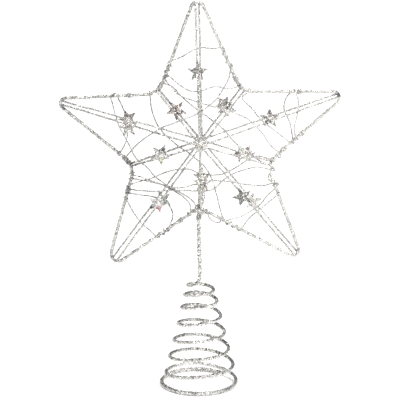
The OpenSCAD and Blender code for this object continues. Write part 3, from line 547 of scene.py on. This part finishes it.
# ---- ribs, hubs and small stars ----------------------------------------------
# ribs with a lighter or darker coat
RIB_TONES = {(2, FRONT): -0.07, (2, BACK): 0.08, (6, FRONT): -0.06, (6, BACK): 0.09, (0, BACK): 0.05, (3, FRONT): -0.05, (3, BACK): -0.05}
def rib_mesh(i, side, seed):
    a, b = rib_start(i, side), rib_end(i, side)
    n = int(np.linalg.norm(b - a) / 0.7)
    p = np.array([lerp(a, b, k / n) for k in range(n + 1)])
    s = np.linspace(0, np.linalg.norm(b - a), n + 1); rng = np.random.default_rng(seed)
    ends = np.minimum(1, np.minimum(s, s[-1] - s) / 8)[:, None]
    p = p + ends * np.stack([wander(s, rng, 60, 9), 0.5 * wander(s, rng, 60, 9), wander(s, rng, 60, 9)], 1) * 0.35
    return Skin(p, {0: 0.93, 1: 0.95, 3: 0.90, 9: 0.84}.get(i, 0.80), 6, seed, grain=0.12, lump=0.12, bits=0.12, bit=0.2).mesh()

def star_outline_points():
    q = []
    for k in range(10):
        r = SST_R * (1 if k % 2 == 0 else SST_W); a = radians(36 * k)
        q.append(np.array([r * cos(a), r * sin(a)]))
    out = []
    for k in range(10):
        a, b = q[k], q[(k + 1) % 10]
        if k % 2 == 0: a = a * 0.99
        else: b = b * 0.99
        n = 7
        out += [lerp(a, b, j / n) for j in range(n)]
    return np.array(out)

def edge_distance(pts, loop):
    d = np.full(len(pts), 1e9)
    for a, b in zip(loop, np.roll(loop, -1, 0)):
        v = b - a; t = np.clip(((pts - a) @ v) / (v @ v), 0, 1)
        d = np.minimum(d, np.linalg.norm(pts - a - t[:, None] * v, axis=1))
    return d

def in_loop(pts, loop):
    c = np.zeros(len(pts), bool)
    for a, b in zip(loop, np.roll(loop, -1, 0)):
        k = ((a[1] > pts[:, 1]) != (b[1] > pts[:, 1])) & (pts[:, 0] < (b[0] - a[0]) * (pts[:, 1] - a[1]) / (b[1] - a[1] + 1e-12) + a[0])
        c ^= k
    return c

def small_star_mesh(i, side, seed):
    rng = np.random.default_rng(seed)
    loop = star_outline_points() + rng.uniform(-0.12, 0.12, (70, 2))
    g = np.arange(-SST_R, SST_R + 0.1, 0.72)
    x, y = np.meshgrid(g, g); x = x + 0.36 * (np.arange(len(g)) % 2)[:, None]
    pts = np.stack([x.ravel(), y.ravel()], 1) + rng.uniform(-0.2, 0.2, (x.size, 2))
    pts = pts[in_loop(pts, loop)]; pts = pts[edge_distance(pts, loop) > 0.38]
    nb = len(loop)
    out = delaunay_2d_cdt([Vector(q) for q in np.vstack([loop, pts])], [], [list(range(nb))], 1, 1e-6)
    xy = np.array([(q.x, q.y) for q in out[0]]); tri = [tuple(f) for f in out[2]]
    d = edge_distance(xy, loop); edge = d < 1e-4
    crown = 0.30 + 0.52 * (1 - np.exp(-d / 1.1))
    m, a, b, o = small_star_frame(i, side)
    def face(sign):
        h = crown + np.where(edge, 0, rng.uniform(-0.2, 0.26, len(xy)))
        return m + xy[:, :1] * a + xy[:, 1:] * b + (sign * h)[:, None] * o
    top, bot = face(1), face(-1)
    n = len(xy); right = np.cross(a, b) @ o > 0
    f = []
    for t in tri:
        p0, p1, p2 = xy[t[0]], xy[t[1]], xy[t[2]]
        ccw = (p1[0]-p0[0])*(p2[1]-p0[1]) - (p1[1]-p0[1])*(p2[0]-p0[0]) > 0
        u = t if ccw == right else t[::-1]
        f += [u, tuple(k + n for k in u[::-1])]
    # wall round the edge: edges that belong to one triangle only
    seen = {}
    for t in f:
        if max(t) < n:
            for k in range(3):
                e = (t[k], t[(k + 1) % 3]); seen[e] = True
    for (s, e) in list(seen):
        if (e, s) not in seen: f += [(e, s, s + n), (e, s + n, e + n)]
    return np.vstack([top, bot]), f

def hub_mesh(side, seed):
    rng = np.random.default_rng(seed)
    bm = bmesh.new(); bmesh.ops.create_icosphere(bm, subdivisions=4, radius=1)
    u = np.array([v.co for v in bm.verts]); bm.verts.index_update()
    f = [tuple(v.index for v in t.verts) for t in bm.faces]; bm.free()
    uy = np.abs(u[:, 1])
    r = -2.6 * uy + np.sqrt(25 - 2.6**2 * (1 - uy**2))
    lobes = 0
    for k in range(10):
        w = along(k, side); lobes = lobes + np.exp(-((1 - u @ w) / 0.035))
    r = r * (0.93 + 0.16 * np.minimum(1, lobes)) + rng.uniform(-0.34, 0.34, len(u))
    return hub_point(side) + u * r[:, None], f

for side, word in ((FRONT, "front"), (BACK, "back")):
    piece(word + "_hub_glitter", hub_mesh(side, 40 + side), M_HUB, 40 + side, [word + "_hub"], "star", clump=0.3)
    for i, n in enumerate(NAMES):
        seed = 100 + 20 * i + (0 if side == FRONT else 10)
        piece(word + "_rib_glitter_" + n, rib_mesh(i, side, seed), M_RIB, seed, [word + "_rib_" + n], "star",
              shade=lambda c: star_shade(c) + RIB_TONES.get((i, side), 0), calm=star_calm, edge=0.1)
        piece(word + "_star_glitter_" + n, small_star_mesh(i, side, seed + 1), STAR_COATS[i][0 if side == FRONT else 1], seed + 1, [word + "_star_" + n], "star", shade=tip_shade(i, side), tint=tip_tint(i, side), clump=0.0 if i == 0 or (i, side) == (6, FRONT) else 0.5)

# ---- loose trim wires --------------------------------------------------------
for k, w in enumerate(TRIMS):
    p = resample(soften(resample(trim_path(w, 15, 1.2), 0.5), 6), 0.7)
    s = np.linspace(0, 0.7 * len(p), len(p))
    sk = Skin(p, 0.60, 6, 300 + k, grain=0.14, lump=0.12, bits=0.08, bit=0.16)
    piece("trim_glitter_%d" % (k + 1), sk.mesh(), M_TRIM, 300 + k, ["trim_wire_%d" % (k + 1)], "star", calm=star_calm)

# ---- bindings ----------------------------------------------------------------
def helix(at, q0, q1, turns, r, start=0.0):
    out = []; n = int(turns * 28)
    for j in range(n + 1):
        c, a, b = at(lerp(q0, q1, j / n)); w = 2 * pi * turns * j / n + start
        out.append(c + r * (cos(w) * a + sin(w) * b))
    return out

def outline_at(q):
    c, t, o = on_outline(q)
    return np.array([c[0], 0, c[1]]), np.array([o[0], 0, o[1]]), np.array([0, 1.0, 0])

def stem_frame(z):
    c, t = stem_at(z); a = unit(np.cross(t, [0, 1.0, 0]))
    return c, a, np.cross(t, a)

parts = []
for k, (q, n) in enumerate(WRAPS):
    L = np.linalg.norm(np.diff(side_of(int(floor(q))), axis=0), axis=1).sum(); h = n * (BIND_D + 0.25) / 2 / L
    p = resample(helix(outline_at, q - h, q + h, n + 0.6, OUTLINE_D / 2 + BIND_D / 2 + 0.05, k), 0.55)
    parts.append(Skin(p, 0.4, 6, 400 + k, grain=0.16, bits=0.14, bit=0.2).mesh())
p = resample(helix(stem_frame, STEM_WRAPS[0] - 0.6, STEM_WRAPS[-1] + 0.6, 3.6, STEM_D / 2 + BIND_D / 2), 0.55)
parts.append(Skin(p, 0.4, 6, 420, grain=0.16, bits=0.14, bit=0.2).mesh())
a5 = apex(5); s5 = stem_at(a5[1])[0]; m5 = np.array([(a5[0] + s5[0]) / 2, s5[1] / 2, a5[1] - LASH_DROP]); th = radians(LASH_TILT)
def lash(z): return m5 + z * np.array([sin(th), 0, -cos(th)]), np.array([cos(th), 0, sin(th)]) * 0.92, np.array([0, 1.0, 0])
p = resample(helix(lash, -1.1, 1.1, 2.6, s5[1] / 2 + STEM_D / 2 + BIND_D / 2 + 1.0, 1.0), 0.55)
parts.append(Skin(p, 0.42, 6, 421, grain=0.16, bits=0.14, bit=0.2).mesh())
piece("binding_glitter", join(parts), M_BIND, 430, ["binding_wraps"], "star", calm=star_calm)

# ---- stem, spring and base ring: one wire, cut where its bodies meet ---------
b0 = coil_point(0); b1 = b0 + np.array([0, -7, 1.35]); b2 = np.array([0, 0, 72.5]); b3 = np.array([0, 0, 79.4])
up = resample(smooth(STEM_POINTS, 0.6)[::-1], 0.2)
neck = [(1-t)**3 * b3 + 3*t*(1-t)**2 * b2 + 3*t*t*(1-t) * b1 + t**3 * b0 for t in np.linspace(0, 1, 60)]
kk = np.linspace(0, FOOT_K, 13 * 120)[1:]; turns = [coil_point(k) for k in kk]
foot = ring_path(0.4)[1:]
line = np.vstack([up, neck, turns, foot])
marks = [0, len(up)]
d = np.r_[0, np.cumsum(np.linalg.norm(np.diff(line, axis=0), axis=1))]
at = [d[len(up) - 1]] + [d[len(up) + len(neck) + int(np.argmin(abs(kk - k)))] for k in (3, 5, 7, FOOT_K)]
p = resample(line, 0.8); L = d[-1] / (len(p) - 1)
cut = [int(round(x / L)) for x in at]
sk = Skin(p, 1.30 + 0.3 * np.clip((cut[0] + 4 - np.arange(len(p))) / 8, 0, 1), 11, 500, grain=0.09, lump=0.07, bits=0.10, bit=0.26)
# edge and under paint shade on the wire's sides and top, and a painted floor reflection underneath
piece("stem_glitter", sk.mesh(0, cut[0]), M_COIL, 501, ["stem"], "star", shade=coil_shade, clump=0.62, edge=0.10, painted_underside_light=0.28)
piece("spring_neck_glitter", sk.mesh(cut[0], cut[1]), M_COIL, 502, ["coil_neck"], span=("spring_neck", "star", (0, 0, 0.063), (0, 0, 0.078)), shade=coil_shade, clump=0.62, edge=0.10, painted_underside_light=0.28)
piece("spring_upper_glitter", sk.mesh(cut[1], cut[2]), M_COIL, 503, ["coil_upper_turns"], span=("spring_upper", "spring_neck", (0, 0, 0.052), (0, 0, 0.0596)), shade=coil_shade, clump=0.62, edge=0.10, painted_underside_light=0.28)
piece("spring_middle_glitter", sk.mesh(cut[2], cut[3]), M_COIL, 504, ["coil_middle_turns"], span=("spring_middle", "spring_upper", (0, 0, 0.040), (0, 0, 0.0487)), shade=coil_shade, clump=0.62, edge=0.10, painted_underside_light=0.28)
piece("spring_lower_glitter", sk.mesh(cut[3], cut[4], 0.0), M_COIL, 505, ["coil_lower_turns"], span=("base", "spring_middle", (0, 0, 0.003), (0, 0, 0.0367)), shade=coil_shade, clump=0.62, edge=0.10, painted_underside_light=0.28)
piece("base_ring_glitter", sk.mesh(cut[4], None, 0.0), M_COIL, 506, ["base_ring"], "base", shade=coil_shade, clump=0.62, edge=0.10, painted_underside_light=0.28)

# ---- floor, light and camera -------------------------------------------------
me = bpy.data.meshes.new("floor")
me.from_pydata([(-9, -9, -0.0003), (9, -9, -0.0003), (9, 9, -0.0003), (-9, 9, -0.0003)], [], [(0, 1, 2, 3)])
floor = bpy.data.objects.new("floor", me); scene.collection.objects.link(floor)
fm = bpy.data.materials.new("floor_paper"); fm.use_nodes = True
fb = fm.node_tree.nodes["Principled BSDF"]
fb.inputs["Base Color"].default_value = (0.94, 0.94, 0.935, 1); fb.inputs["Roughness"].default_value = 0.9
fb.inputs["Specular IOR Level"].default_value = 0.1
me.materials.append(fm)
w = bpy.data.worlds.new("studio"); scene.world = w; w.use_nodes = True
w.node_tree.nodes["Background"].inputs["Color"].default_value = (0.96, 0.98, 1.0, 1)
w.node_tree.nodes["Background"].inputs["Strength"].default_value = 0.5

def softbox(name, place, aim, size, power):
    l = bpy.data.lights.new(name, "AREA"); l.shape = "RECTANGLE"; l.size, l.size_y = size; l.energy = power
    o = bpy.data.objects.new(name, l); scene.collection.objects.link(o)
    o.location = place; o.rotation_mode = "QUATERNION"
    o.rotation_quaternion = (Vector(aim) - Vector(place)).to_track_quat("-Z", "Y")
softbox("key", (1.5, -1.3, 1.7), (0, 0, 0.12), (1.3, 1.3), 48)
softbox("fill", (-1.9, -1.2, 1.2), (0, 0, 0.12), (0.9, 1.2), 8)
softbox("overhead", (-0.2, 1.5, 2.5), (-0.1, 1.2, 0), (3.0, 3.0), 100)

cam = bpy.data.cameras.new("camera"); cam.sensor_fit = "HORIZONTAL"; cam.sensor_width = 36.0
cam.lens = 36.0 * 3550 / 400; cam.clip_end = 50
co = bpy.data.objects.new("camera", cam); scene.collection.objects.link(co)
E = radians(15.4); aim = Vector((0.00014, 0, 0.1356)); back = Vector((0, -cos(E), sin(E)))
co.location = aim + back * 2.5; co.rotation_mode = "QUATERNION"; co.rotation_quaternion = (-back).to_track_quat("-Z", "Y")
scene.camera = co
scene.view_settings.view_transform = "Standard"
scene.cycles.use_denoising = False
scene.cycles.filter_width = 1.7
